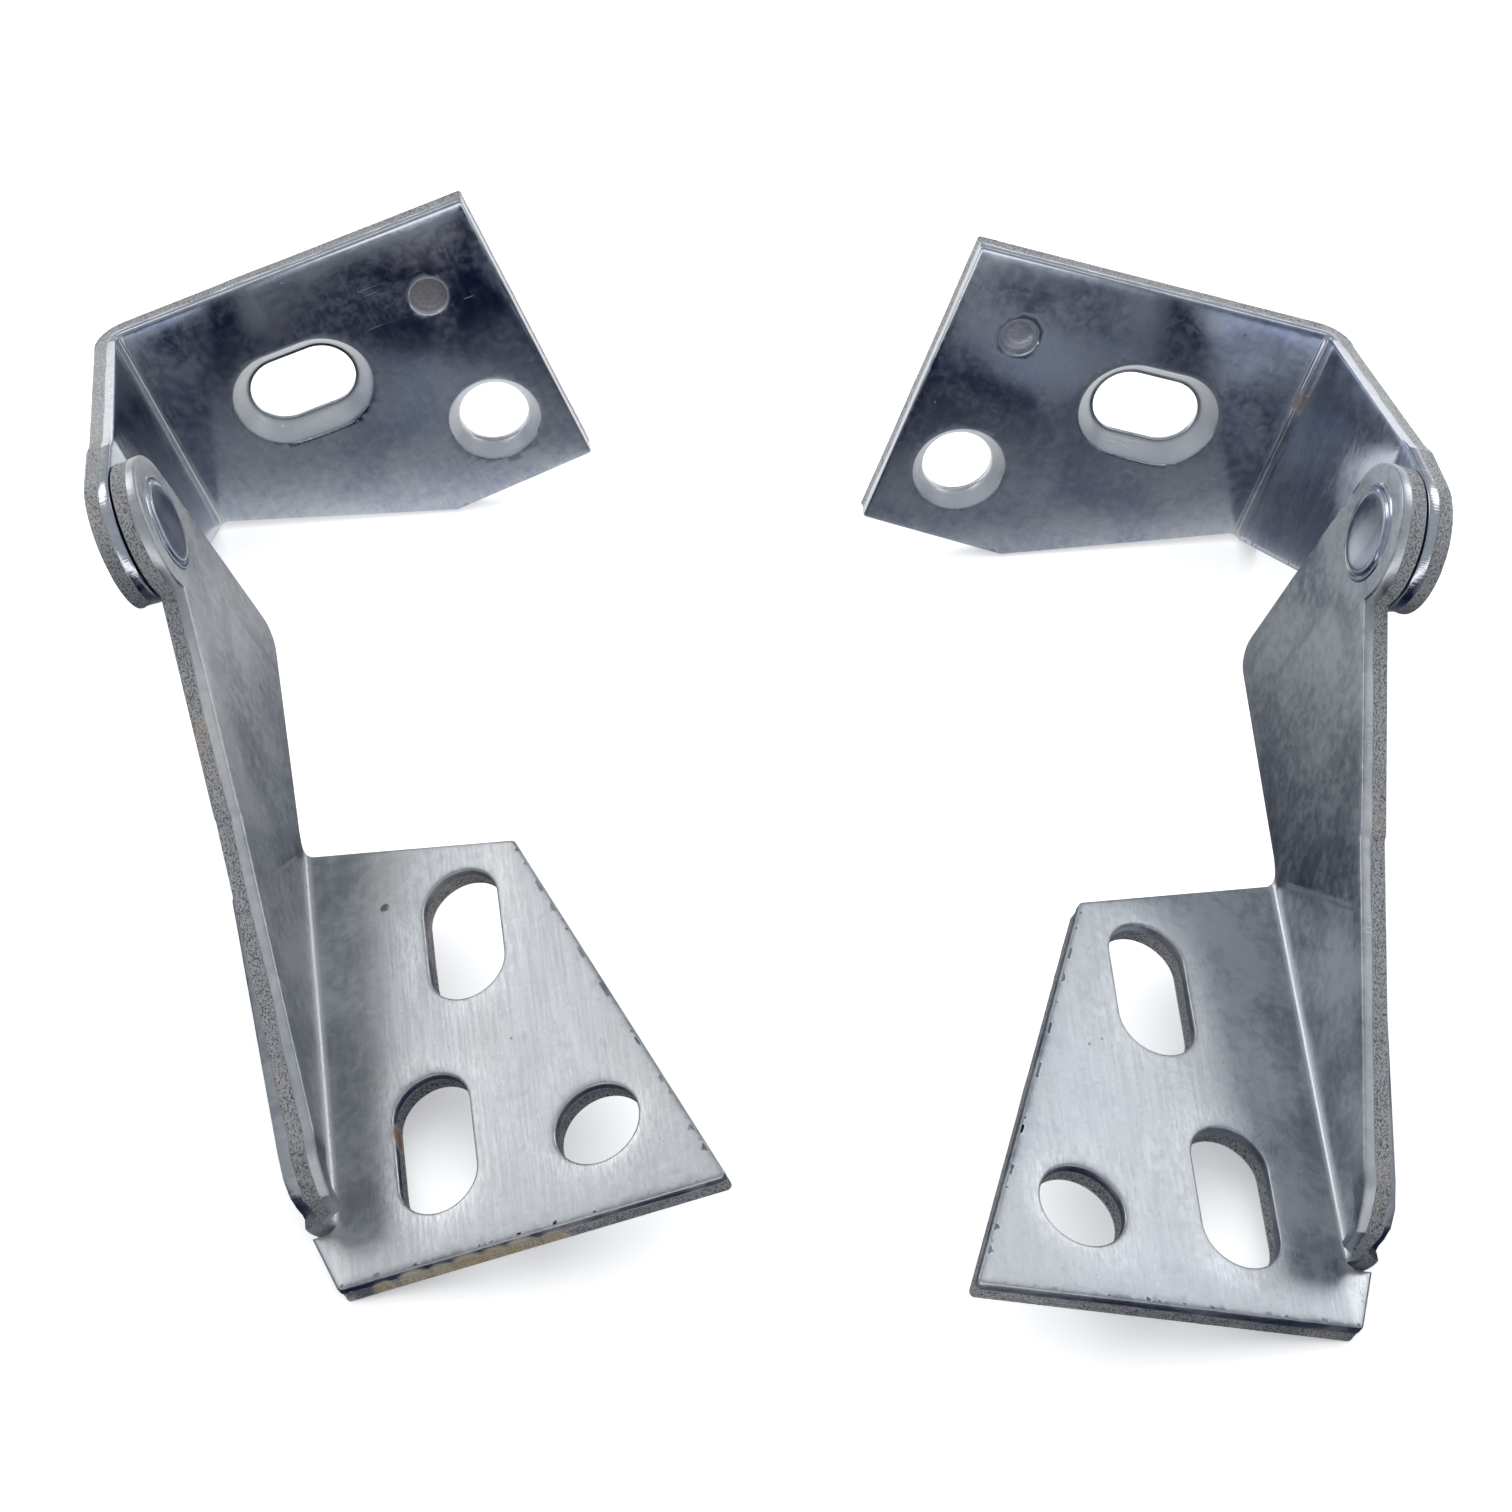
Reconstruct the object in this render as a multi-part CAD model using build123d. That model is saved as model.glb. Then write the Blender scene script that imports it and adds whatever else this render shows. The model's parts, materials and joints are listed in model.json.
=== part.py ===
"""Handed pair of riveted lid hinges, pressed from plated steel sheet.

Each hinge has a lower bracket, an upper bracket and one shouldered pivot rivet. The left hinge is
modelled in its own hinge frame and the right hinge is its mirror image. Both then lie on a table,
each the way it comes to rest when the friction in the pivot holds it part open.

Hinge frame of the left hinge: X runs from the lower web's inner face across the lower flange, Y runs
along the lower bend towards the pivot, and Z rises from the lower flange's upper face.
"""
from math import asin, atan2, cos, degrees, hypot, radians, sin, sqrt, tan
import os

from build123d import *

os.makedirs("parts", exist_ok=True)

# ---------------------------------------------------------------- driving dimensions, millimetres
SHEET = 3.0            # sheet thickness of both brackets
BEND_R = 0.8           # inside radius of both bends
EYE_R = 8.1            # radius of the round eye at each pivot end
EYE_GAP = 0.25         # gap between the two eyes
OPEN_ANGLE = 75.5      # degrees from the folded position, as the friction holds the hinge

# pivot rivet
SHANK_R = 4.0
SHANK_RUN = 0.05       # radial running clearance in the upper eye
HEAD_R = 5.0           # pressed-over inner head
HEAD_PROUD = 0.35
HEAD_RING = 0.7        # width of the low ring around the inner head
OUTER_HEAD_R = 5.2
OUTER_HEAD_T = 0.8
OUTER_HEAD_GAP = 0.05  # play under the outer head

# lower bracket: pivot, arm and gusset, as (Y, Z)
PIVOT_Y, PIVOT_Z = 29.4, 31.4
ARM_HEEL = (38.3, -0.7)         # obtuse corner of the arm's lower edge
ARM_HEEL_R = 3.0
GUSSET_END = (-46.4, 5.6)       # free edge at the lower end of the bend
GUSSET_DIP = (-43.0, 10.4)      # where the free edge starts to fall to its lower end
GUSSET_STEP = (-5.0, 19.9)      # where the free edge has its small step
GUSSET_TOP = (22.0, 28.3)       # where the free edge meets the eye
STEP_H = 0.35
BEND_TURN = 3.1                 # degrees that the bend turns out from the arm's plane
PANEL_TOP = ((0.5, 3.2), (-12.2, 15.8))      # upper border of the panel that turns with the bend
PANEL_RIM = 3.2                 # height of the rim between the panel and the free edge
PANEL_LAP = 1.2                 # how far arm and panel overlap along the panel's border

# lower flange, as (X, Y)
FLANGE_TOP_Y = 2.6              # top edge where it meets the bend
FLANGE_CORNERS = ((24.3, -5.2), (39.6, -56.6), (-3.6, -54.2))
FLANGE_HEEL_X = -5.6            # flange's left edge beside the tear
FLANGE_CORNER_R = 0.6
ROOT_FILLET = 2.6               # between the flange's top edge and the arm
TEAR_W = 0.6                    # slit between the web's lower end and the flange
TEAR_X = -3.4                   # where the slit stops
LOW_SLOT_W, LOW_SLOT_L = 8.8, 17.0
LOW_SLOTS = ((16.6, -15.3), (9.4, -40.6))
LOW_HOLE_R = 4.7
LOW_HOLE = (27.2, -45.1)

# upper bracket in its own frame: X as above, V along its bend, W out of its flange, pivot at V=W=0
UP_DROP = 51.8                  # flange face below the pivot
UP_LEAN = 8.0                   # degrees that the web leans outwards below the eye
UP_CREASE = 9.0                 # crease below the pivot where the lean starts
UP_TOP_V = -2.2                 # top edge of the flange
UP_BEND_END_V = -32.7           # lower end of the bend
UP_CORNERS = ((37.4, -2.0), (38.7, -42.2), (19.5, -43.2))
UP_FREE_EDGE = ((8.1, -6.9), (-1.0, -45.7))
UP_SLOT = (8.7, -18.8)
UP_SLOT_W, UP_SLOT_L, UP_SLOT_CSK = 8.6, 13.7, 13.0
UP_HOLE = (29.2, -32.4)
UP_HOLE_R, UP_HOLE_CSK = 4.4, 5.85
CSK_HALF_ANGLE = 40.0           # cone half angle of both countersinks
DIMPLE = (28.5, -12.6)
DIMPLE_R, DIMPLE_DEPTH = 2.35, 1.2

# where each pivot lies on the table, and the way each hinge points, in degrees from +Y
LEFT_AT, LEFT_HEADING = (-65.95, 5.60, 0), 10.97
RIGHT_AT, RIGHT_HEADING = (68.41, 3.14, 0), 0.83

# ---------------------------------------------------------------- worked-out values
OUTER_BEND_R = BEND_R + SHEET
ROOT_Y = FLANGE_TOP_Y + ROOT_FILLET                   # upper end of the lower bend
BEND_LENGTH = (ROOT_Y - GUSSET_END[0]) / cos(radians(BEND_TURN))
ON_BEND = Location((0, ROOT_Y, 0), (0, 0, -BEND_TURN))  # Y runs along the bend, up to its upper end
UP_INNER_X = -(SHEET + EYE_GAP)                       # upper eye's inner face
LEAN = radians(UP_LEAN)
UP_BEND_X = UP_INNER_X - (UP_DROP - UP_CREASE) * tan(LEAN)   # inner corner of the upper bend
BIG = 200.0


def tangent_point(outside, centre, radius, side):
    """Where the line from a point outside a circle touches it; side is +1 or -1."""
    dx, dy = centre[0] - outside[0], centre[1] - outside[1]
    away = hypot(dx, dy)
    turn = side * asin(radius / away)
    heading = atan2(dy, dx) + turn
    reach = sqrt(away * away - radius * radius)
    return outside[0] + reach * cos(heading), outside[1] + reach * sin(heading)


def prism(plane, points, start, stop, rounds=()):
    """A prism over a closed outline, from start to stop along the plane's normal.

    Each entry of rounds is a corner of the outline and the radius that rounds it.
    """
    face = make_face(Polyline(*points, close=True))
    for corner, radius in rounds:
        vertex = min(face.vertices(), key=lambda v: hypot(v.X - corner[0], v.Y - corner[1]))
        face = fillet(vertex, radius)
    placed = plane.offset(start) * face
    return extrude(placed, amount=stop - start, dir=plane.z_dir)


def long_edge(part, axis, **at):
    """The longest straight edge along an axis that passes through the given coordinates."""
    edges = [
        e for e in part.edges().filter_by(axis)
        if all(abs(getattr(e.center(), name) - value) < 1e-4 for name, value in at.items())
    ]
    return max(edges, key=lambda e: e.length)


def slot_cutter(width, length, depth, grow=0.0):
    """A straight slot standing on Z=0, its length along X; grow widens it all round at the top."""
    base = SlotOverall(length, width)
    if not grow:
        return extrude(base, amount=depth)
    return extrude(base, amount=depth, taper=-degrees(atan2(grow, depth)))


# ---------------------------------------------------------------- lower bracket
def gusset_slope():
    return (GUSSET_STEP[1] - GUSSET_DIP[1]) / (GUSSET_STEP[0] - GUSSET_DIP[0])


def rim_line(y, drop):
    """Height at y of a line that runs below the gusset's free edge."""
    return GUSSET_STEP[1] + (y - GUSSET_STEP[0]) * gusset_slope() - drop


def lower_arm():
    """Arm, eye and the rim along the gusset's free edge, in the pivot's plane."""
    centre = (PIVOT_Y, PIVOT_Z)
    step_top = (GUSSET_STEP[0] + STEP_H, GUSSET_STEP[1] + STEP_H * (1 + gusset_slope()))
    (cy, cz), (by, bz) = PANEL_TOP
    rim = PANEL_RIM + PANEL_LAP
    end_y, end_z = GUSSET_END
    low_z = min(end_z - 0.5, rim_line(end_y, rim))
    outline = [
        (end_y, low_z), GUSSET_END, GUSSET_DIP, GUSSET_STEP, step_top, GUSSET_TOP, centre,
        tangent_point(ARM_HEEL, centre, EYE_R, -1), ARM_HEEL, (ROOT_Y, BEND_R), (cy, BEND_R),
        (cy - PANEL_LAP, cz - PANEL_LAP), (by, bz - PANEL_LAP), (by - PANEL_LAP, rim_line(by, rim)),
    ]
    plate = prism(Plane.YZ, outline, -SHEET, 0, rounds=[(ARM_HEEL, ARM_HEEL_R)])
    return plate + Location((-SHEET / 2, PIVOT_Y, PIVOT_Z), (0, 90, 0)) * Cylinder(EYE_R, SHEET)


def lower_panel():
    """The panel between the bend and the rim, which stands in the bend's plane."""
    (cy, cz), (by, bz) = PANEL_TOP
    end_y, end_z = GUSSET_END
    outline = [
        (end_y, 0.0), (end_y, end_z), (GUSSET_DIP[0], rim_line(GUSSET_DIP[0], PANEL_RIM)),
        (by, bz), (cy, cz), (ROOT_Y, BEND_R), (ROOT_Y, 0.0),
    ]
    keep = prism(Plane.YZ, outline, -BIG / 2, BIG / 2)
    wall = ON_BEND * Pos(0, 0, BEND_R) * Box(
        SHEET, 2 * BIG, BIG, align=(Align.MAX, Align.CENTER, Align.MIN))
    return wall & keep


def lower_bend():
    """The quarter-round bend between panel and flange."""
    ring = Cylinder(OUTER_BEND_R, BEND_LENGTH) - Cylinder(BEND_R, BEND_LENGTH)
    ring = Location((BEND_R, -BEND_LENGTH / 2, BEND_R), (90, 0, 0)) * ring
    corner = Pos(BEND_R, 0, BEND_R) * Box(
        BIG, 2 * BIG, BIG, align=(Align.MAX, Align.CENTER, Align.MAX))
    return ON_BEND * (ring & corner)


def lower_flange():
    """The flange: a trapezium whose top edge runs up into the arm on a small fillet."""
    (x1, y1), (x2, y2), (x3, y3) = FLANGE_CORNERS
    end_y = GUSSET_END[0]
    lean = tan(radians(BEND_TURN))
    bend_x = [BEND_R - (ROOT_Y - y) * lean for y in (ROOT_Y, FLANGE_TOP_Y, end_y)]
    outline = [
        (bend_x[0], ROOT_Y), (bend_x[1], FLANGE_TOP_Y), (x1, y1), (x2, y2), (x3, y3),
        (FLANGE_HEEL_X, end_y - TEAR_W), (TEAR_X, end_y - TEAR_W), (TEAR_X, end_y), (bend_x[2], end_y),
    ]
    rounds = [(corner, FLANGE_CORNER_R) for corner in FLANGE_CORNERS]
    rounds.append(((bend_x[1], FLANGE_TOP_Y), ROOT_FILLET))
    return prism(Plane.XY, outline, -SHEET, 0, rounds)


def lower_bracket():
    body = lower_arm() + lower_panel() + lower_bend() + lower_flange()

    # two slots along the bend and one round hole
    for x, y in LOW_SLOTS:
        cutter = slot_cutter(LOW_SLOT_W, LOW_SLOT_L, 3 * SHEET)
        body -= Location((x, y, -2 * SHEET), (0, 0, 90)) * cutter
    body -= Location((LOW_HOLE[0], LOW_HOLE[1], 0)) * Cylinder(LOW_HOLE_R, 3 * SHEET)

    # bore that grips the rivet
    bore = Location((-SHEET / 2, PIVOT_Y, PIVOT_Z), (0, 90, 0)) * Cylinder(SHANK_R, 2 * SHEET)
    return body - bore


# ---------------------------------------------------------------- upper bracket
def upper_sheet():
    """The bent sheet, before its outline is cut: eye plate, leaning web and flange."""
    reach = (UP_DROP - UP_CREASE) / cos(LEAN)
    inner = [
        (UP_INNER_X, BIG), (UP_INNER_X, -UP_CREASE),
        (UP_INNER_X - reach * sin(LEAN), -UP_DROP), (BIG, -UP_DROP),
    ]
    out_x = UP_INNER_X - SHEET
    crease = -UP_CREASE + SHEET * tan(LEAN / 2)
    down = (crease + UP_DROP + SHEET) / cos(LEAN)
    outer = [
        (BIG, -UP_DROP - SHEET), (out_x - down * sin(LEAN), -UP_DROP - SHEET),
        (out_x, crease), (out_x, BIG),
    ]
    face = make_face(Plane.XZ * Polyline(*(inner + outer), close=True))
    sheet = extrude(face, amount=BIG, both=True)
    inside = long_edge(sheet, Axis.Y, X=inner[2][0], Z=inner[2][1])
    sheet = fillet(inside, BEND_R)
    outside = long_edge(sheet, Axis.Y, X=outer[1][0], Z=outer[1][1])
    return fillet(outside, OUTER_BEND_R)


def upper_bracket():
    """The upper bracket in its own frame, with the pivot at the origin."""
    sheet = upper_sheet()
    floor = -UP_DROP - SHEET - 1
    split_x = UP_BEND_X + BEND_R

    # web outline, kept clear of the flange beyond the bend's tangent line
    (v1, w1), (v2, w2) = UP_FREE_EDGE
    touch = tangent_point((UP_BEND_END_V, -UP_DROP), (0, 0), EYE_R, 1)
    web_outline = [
        (UP_BEND_END_V, floor), (UP_BEND_END_V, -UP_DROP), touch, (0, 0), (EYE_R, 0), (v1, w1),
        (v2, w2), (UP_TOP_V, -UP_DROP + BEND_R), (UP_TOP_V, floor),
    ]
    web_keep = prism(Plane.YZ, web_outline, -BIG, 0)
    web_keep -= Pos(split_x, 0, -UP_DROP + BEND_R) * Box(
        BIG, BIG, BIG, align=(Align.MIN, Align.CENTER, Align.MAX))
    eye_keep = Location((-BIG / 2, 0, 0), (0, 90, 0)) * Cylinder(EYE_R, BIG)

    # flange outline
    (x2, y2), (x3, y3), (x4, y4) = UP_CORNERS
    flange_outline = [
        (split_x, UP_TOP_V), (x2, y2), (x3, y3), (x4, y4), (split_x, UP_BEND_END_V),
    ]
    flange_keep = prism(Plane.XY, flange_outline, floor, -UP_DROP + 2.0)
    body = (sheet & web_keep) + (sheet & eye_keep) + (sheet & flange_keep)

    # countersunk slot, its length along the top edge
    depth = (UP_SLOT_CSK - UP_SLOT_W) / 2 / tan(radians(CSK_HALF_ANGLE))
    face_w = -UP_DROP
    through = slot_cutter(UP_SLOT_W, UP_SLOT_L, 3 * SHEET)
    body -= Location((UP_SLOT[0], UP_SLOT[1], face_w - 2 * SHEET)) * through
    sink = slot_cutter(UP_SLOT_W, UP_SLOT_L, depth, (UP_SLOT_CSK - UP_SLOT_W) / 2)
    body -= Location((UP_SLOT[0], UP_SLOT[1], face_w - depth)) * sink

    # countersunk round hole
    body -= Location((UP_HOLE[0], UP_HOLE[1], face_w)) * Cylinder(UP_HOLE_R, 3 * SHEET)
    cone_h = (UP_HOLE_CSK - UP_HOLE_R) / tan(radians(CSK_HALF_ANGLE))
    cone = Cone(UP_HOLE_R, UP_HOLE_CSK, cone_h, align=(Align.CENTER, Align.CENTER, Align.MAX))
    body -= Location((UP_HOLE[0], UP_HOLE[1], face_w)) * cone

    # blind dimple from the piercing punch
    punch = Cylinder(DIMPLE_R, DIMPLE_DEPTH, align=(Align.CENTER, Align.CENTER, Align.MAX))
    body -= Location((DIMPLE[0], DIMPLE[1], face_w)) * punch

    # bore that turns on the rivet's shank
    bore = Location((UP_INNER_X, 0, 0), (0, 90, 0)) * Cylinder(SHANK_R + SHANK_RUN, 4 * SHEET)
    return body - bore


# ---------------------------------------------------------------- pivot rivet
def pivot_rivet():
    """Rivet along X: inner head, shank through both eyes and flat outer head."""
    outer_x = UP_INNER_X - SHEET - OUTER_HEAD_GAP
    tip_x = outer_x - OUTER_HEAD_T
    profile = [
        (tip_x, 0), (tip_x, OUTER_HEAD_R - 0.6), (tip_x + 0.6, OUTER_HEAD_R),
        (outer_x, OUTER_HEAD_R), (outer_x, SHANK_R), (0, SHANK_R), (0, HEAD_R + HEAD_RING),
        (HEAD_PROUD * 0.6, HEAD_R + HEAD_RING * 0.6), (HEAD_PROUD * 0.4, HEAD_R),
        (HEAD_PROUD, HEAD_R - 0.25), (HEAD_PROUD, 0),
    ]
    face = make_face(Plane.XZ * Polyline(*profile, close=True))
    return revolve(face, Axis.X, 360)


# ---------------------------------------------------------------- assembly
def left_hinge():
    """Node name ending to solid, in the hinge frame."""
    to_pivot = Location((0, PIVOT_Y, PIVOT_Z))
    opened = to_pivot * Location((0, 0, 0), (OPEN_ANGLE, 0, 0))
    return {
        "lower_bracket": lower_bracket(),
        "upper_bracket": opened * upper_bracket(),
        "pivot_rivet": to_pivot * pivot_rivet(),
    }


def lying_plane():
    """The table in the hinge frame: it touches one lower corner and two places on the upper bracket."""
    opened = Location((0, PIVOT_Y, PIVOT_Z)) * Location((0, 0, 0), (OPEN_ANGLE, 0, 0))
    under = -UP_DROP - SHEET
    round_x = UP_BEND_X + BEND_R - OUTER_BEND_R * sin(radians(45))
    round_w = -UP_DROP + BEND_R - OUTER_BEND_R * cos(radians(45))
    low = Vector(FLANGE_CORNERS[2][0], FLANGE_CORNERS[2][1], -SHEET)
    near = (opened * Pos(UP_CORNERS[2][0], UP_CORNERS[2][1], under)).position
    far = (opened * Pos(round_x, UP_BEND_END_V, round_w)).position
    up = (near - low).cross(far - low).normalized()
    if up.dot(Vector(0, PIVOT_Y, PIVOT_Z) - low) < 0:
        up = -up
    return Plane(origin=(0, PIVOT_Y, PIVOT_Z), x_dir=Vector(0, 1, 0).cross(up), z_dir=up)


def main():
    lie = lying_plane().location.inverse()
    pieces = {}
    for name, solid in left_hinge().items():
        lying = lie * solid
        pieces["left_" + name] = Location(LEFT_AT, (0, 0, LEFT_HEADING)) * lying
        pieces["right_" + name] = Location(RIGHT_AT, (0, 0, RIGHT_HEADING)) * mirror(lying, Plane.YZ)
    box = Compound(list(pieces.values())).bounding_box()
    to_origin = Pos(-box.center().X, -box.center().Y, -box.min.Z)
    for node, piece in pieces.items():
        export_step(to_origin * piece, f"parts/{node}.step")


main()
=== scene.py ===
import json
from math import atan2, cos, degrees, hypot, pi, radians, sin, tan

import bmesh
import bpy
import numpy as np
from mathutils import Matrix, Vector, kdtree
from mathutils.geometry import delaunay_2d_cdt


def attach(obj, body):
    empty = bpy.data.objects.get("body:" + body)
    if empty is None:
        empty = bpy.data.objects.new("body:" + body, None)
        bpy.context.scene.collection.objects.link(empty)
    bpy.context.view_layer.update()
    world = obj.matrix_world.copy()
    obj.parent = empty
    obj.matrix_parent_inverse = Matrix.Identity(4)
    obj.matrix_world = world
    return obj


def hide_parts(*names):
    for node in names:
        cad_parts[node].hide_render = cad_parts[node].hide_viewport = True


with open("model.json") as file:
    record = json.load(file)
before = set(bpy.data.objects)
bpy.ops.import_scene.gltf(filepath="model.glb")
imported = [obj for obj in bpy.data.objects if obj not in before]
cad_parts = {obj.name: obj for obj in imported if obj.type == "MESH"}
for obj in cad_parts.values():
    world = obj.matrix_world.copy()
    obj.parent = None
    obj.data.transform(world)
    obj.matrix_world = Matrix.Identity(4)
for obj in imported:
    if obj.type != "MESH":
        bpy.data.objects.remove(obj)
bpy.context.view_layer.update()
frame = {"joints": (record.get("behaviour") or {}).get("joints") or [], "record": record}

# ------------------------------------------------------------------ sizes, millimetres, as in the CAD
SHEET, BEND_R, EYE_R, EYE_GAP = 3.0, 0.8, 8.1, 0.25
PIVOT_Y, PIVOT_Z = 29.4, 31.4
ARM_HEEL, ARM_HEEL_R = (38.3, -0.7), 3.0
GUSSET_END, GUSSET_DIP, GUSSET_STEP = (-46.4, 5.6), (-43.0, 10.4), (-5.0, 19.9)
GUSSET_TOP, STEP_H, BEND_TURN = (22.0, 28.3), 0.35, 3.1
RIM_FROM_Y, RIM_RUN, RIM_X = -41.0, 5.4, -0.9    # the rim steps out near the lower end of the bend
PANEL_TOP, PANEL_RIM = ((0.5, 3.2), (-12.2, 15.8)), 3.2
FLANGE_TOP_Y, FLANGE_CORNER_R, ROOT_FILLET = 2.6, 0.6, 2.6
FLANGE_CORNERS, FLANGE_HEEL_X = ((24.3, -5.2), (39.6, -56.6), (-3.6, -54.2)), -5.6
TEAR_W, TEAR_X = 0.6, -3.4
LOW_SLOT_W, LOW_SLOT_L, LOW_SLOTS = 8.8, 17.0, ((16.6, -15.3), (9.4, -40.6))
LOW_HOLE_R, LOW_HOLE = 4.7, (27.2, -45.1)
UP_DROP, UP_LEAN, UP_CREASE, UP_TOP_V, UP_BEND_END_V = 51.8, 8.0, 9.0, -2.2, -32.7
UP_CORNERS = ((37.4, -2.0), (38.7, -42.2), (19.5, -43.2))
UP_FREE_EDGE = ((8.1, -6.9), (-1.0, -45.7))
UP_SLOT, UP_SLOT_W, UP_SLOT_L, UP_SLOT_CSK = (8.7, -18.8), 8.6, 13.7, 13.0
UP_HOLE, UP_HOLE_R, UP_HOLE_CSK, CSK_HALF_ANGLE = (29.2, -32.4), 4.4, 5.85, 40.0
DIMPLE, DIMPLE_R, DIMPLE_DEPTH = (28.5, -12.6), 2.35, 1.2
SHANK_R, SHANK_RUN, HEAD_R, HEAD_PROUD, HEAD_RING = 4.0, 0.05, 5.0, 0.35, 0.7
OUTER_HEAD_R, OUTER_HEAD_T, OUTER_HEAD_GAP = 5.2, 0.8, 0.05

ROOT_Y = FLANGE_TOP_Y + ROOT_FILLET
END_Y = GUSSET_END[0]                  # lower end of the bend
TEAR_Y = END_Y - TEAR_W / 2
SLOPE = (GUSSET_STEP[1] - GUSSET_DIP[1]) / (GUSSET_STEP[0] - GUSSET_DIP[0])
UP_INNER_X = -(SHEET + EYE_GAP)
LEAN = radians(UP_LEAN)
UP_BEND_X = UP_INNER_X - (UP_DROP - UP_CREASE) * tan(LEAN)
ROOT_BLANK_R = ROOT_FILLET + 0.6       # the same fillet on the blank, where the bend spreads it
UP_CORNER_R = 0.45

# ------------------------------------------------------------------ mesh and finish
MM = 0.001
EDGE_STEP = 0.4                # spacing of the points along a cut edge
FACE_STEP = 0.95               # spacing of the points on a face
EDGE_ROWS = (0.62, 1.05)       # extra rows of face points beside each cut edge
RIM_CLEAR = 0.24               # a face point is no nearer to a cut edge than this
POINT_CLEAR = 0.13             # nor nearer to another face point than this
SHARP_ANGLE = 38.0
HALO = 3.4                     # reach of the brush marks round a hole


# ------------------------------------------------------------------ outlines
def unit(v):
    v = np.asarray(v, float)
    return v / np.linalg.norm(v)


def arc(centre, radius, start, stop, count=24):
    """Points on an arc, angles in degrees."""
    a = np.radians(np.linspace(start, stop, count))
    return [(centre[0] + radius * cos(t), centre[1] + radius * sin(t)) for t in a]


def rounded(points):
    """A closed outline from (x, y) or (x, y, r) corners, each corner with an r rounded to it."""
    out = []
    count = len(points)
    for i, corner in enumerate(points):
        if len(corner) == 2:
            out.append(tuple(corner))
            continue
        p = np.array(corner[:2])
        a = unit(np.array(points[i - 1][:2]) - p)
        b = unit(np.array(points[(i + 1) % count][:2]) - p)
        half = np.arccos(np.clip(a @ b, -1, 1)) / 2
        reach = corner[2] / tan(half)
        centre = p + unit(a + b) * corner[2] / sin(half)
        start = p + a * reach - centre
        stop = p + b * reach - centre
        t0, t1 = atan2(start[1], start[0]), atan2(stop[1], stop[0])
        turn = (t1 - t0 + pi) % (2 * pi) - pi
        for t in np.linspace(t0, t0 + turn, 9):
            out.append((centre[0] + corner[2] * cos(t), centre[1] + corner[2] * sin(t)))
    return out


def resample(points, step=EDGE_STEP):
    """The same closed outline with extra points, so that none are more than step apart."""
    out = []
    for i, p in enumerate(points):
        q = points[(i + 1) % len(points)]
        length = hypot(q[0] - p[0], q[1] - p[1])
        if length < 1e-6:
            continue
        n = max(1, round(length / step))
        out += [(p[0] + (q[0] - p[0]) * k / n, p[1] + (q[1] - p[1]) * k / n) for k in range(n)]
    loop = np.array(out)
    keep = np.linalg.norm(loop - np.roll(loop, 1, axis=0), axis=1) > 0.02
    return loop[keep]


def slot_loop(centre, width, length, along):
    """A slot's outline, its length along the first (0) or second (1) blank axis."""
    half, r = (length - width) / 2, width / 2
    pts = arc((half, 0), r, -90, 90, 28) + arc((-half, 0), r, 90, 270, 28)
    if along:
        pts = [(-y, x) for x, y in pts]
    return resample([(centre[0] + x, centre[1] + y) for x, y in pts])


def into_metal(loop, outer):
    """For each point of a loop, the direction into the metal."""
    d = np.roll(loop, -1, axis=0) - loop
    d /= np.linalg.norm(d, axis=1, keepdims=True)
    n = np.stack([-d[:, 1], d[:, 0]], 1)
    area = np.sum(loop[:, 0] * np.roll(loop[:, 1], -1) - np.roll(loop[:, 0], -1) * loop[:, 1])
    if (area < 0) == outer:
        n = -n
    m = n + np.roll(n, 1, axis=0)
    m /= np.linalg.norm(m, axis=1, keepdims=True)
    cosine = np.clip(np.sum(m * n, axis=1), 0.55, 1)
    return m / cosine[:, None]


def inside(points, loop):
    """Which points lie inside a closed loop."""
    x, y = points[:, 0][:, None], points[:, 1][:, None]
    x0, y0 = loop[:, 0][None], loop[:, 1][None]
    x1, y1 = np.roll(loop[:, 0], -1)[None], np.roll(loop[:, 1], -1)[None]
    crosses = (y0 > y) != (y1 > y)
    with np.errstate(divide="ignore", invalid="ignore"):
        at = x0 + (y - y0) * (x1 - x0) / (y1 - y0)
    return (np.sum(crosses & (x < at), axis=1) % 2) == 1


def tree_of(points):
    """A kd-tree of flat points."""
    tree = kdtree.KDTree(len(points))
    for i, p in enumerate(points):
        tree.insert((p[0], p[1], 0), i)
    tree.balance()
    return tree


def distances(tree, points):
    """How far each flat point is from the nearest point in a tree."""
    return np.array([tree.find((p[0], p[1], 0))[2] for p in points])


def set_attribute(mesh, name, kind, values):
    key = "vector" if kind == "FLOAT_VECTOR" else "value"
    data = mesh.attributes.new(name, kind, "POINT").data
    data.foreach_set(key, np.asarray(values, np.float32).ravel())


# ------------------------------------------------------------------ sheet pieces
def smooth_noise(rng, rows, columns, width):
    """Random rows x columns field, smoothed round its columns, between about -1 and 1."""
    field = rng.standard_normal((rows, columns))
    reach = np.fft.rfftfreq(columns)
    field = np.fft.irfft(np.fft.rfft(field, axis=1) * np.exp(-((reach * width) ** 2)), columns, axis=1)
    return field / (np.abs(field).max() + 1e-9)


# a plain cut edge, as rows of (distance into the metal, depth, shear)
ROLL = [(0.30, 0.03, 0.0), (0.15, 0.085, 0.0), (0.05, 0.18, 0.15), (0.0, 0.34, 0.45), (0.0, 0.75, 0.5),
        (0.0, 1.15, 0.55), (0.03, 1.32, 0.8), (0.09, 1.6, 1.0), (0.10, 1.95, 1.0), (0.09, 2.3, 1.0),
        (0.07, 2.62, 1.0), (0.03, 2.86, 0.95), (0.08, 3.0, 0.5)]


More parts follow.
